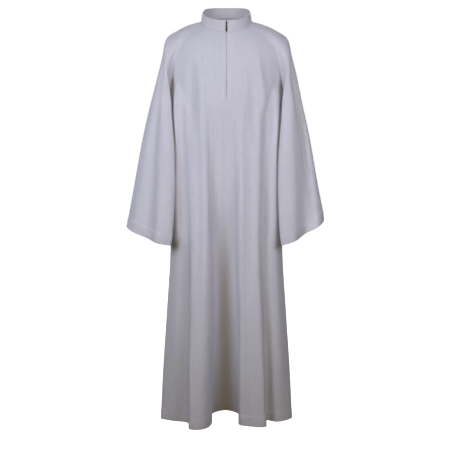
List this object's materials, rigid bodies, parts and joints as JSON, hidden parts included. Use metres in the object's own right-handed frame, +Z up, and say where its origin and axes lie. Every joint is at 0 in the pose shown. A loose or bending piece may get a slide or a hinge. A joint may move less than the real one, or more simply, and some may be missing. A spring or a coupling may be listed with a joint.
{
  "type": "alb robe",
  "caption": "Long A-line alb worn with no wearer shown: raglan bell sleeves, stand-up band collar and a short concealed front zip with a hinged pull tab.",
  "frame": {"origin": "midway between the two neck points of the shoulders, where the wearer carries the robe", "axes": "+Z up the wearer's back, -Y to the front, +X to the wearer's left"},
  "size_m": [0.705, 0.298, 1.4969],
  "materials": {
    "alb_twill": "matte off-white twill with small slubs",
    "collar_band": "two layers of the same twill, pressed flat",
    "zip_tape": "close woven tape",
    "zip_metal": "dark bronze, satin"
  },
  "bodies": {
    "robe": {"front_panel": "alb_twill", "back_panel": "alb_twill", "sleeve_right": "alb_twill", "sleeve_left": "alb_twill", "collar": "collar_band", "zip_tape": "zip_tape", "zip_slider": "zip_metal"},
    "pull_tab": {"zip_pull": "zip_metal"}
  },
  "joints": [
    {"name": "pull_hinge", "type": "hinge", "parent": "robe", "child": "pull_tab", "pos_m": [0, -0.0767, 0.00139], "axis": [-1, 0, 0], "range_deg": [0, 150]}
  ]
}
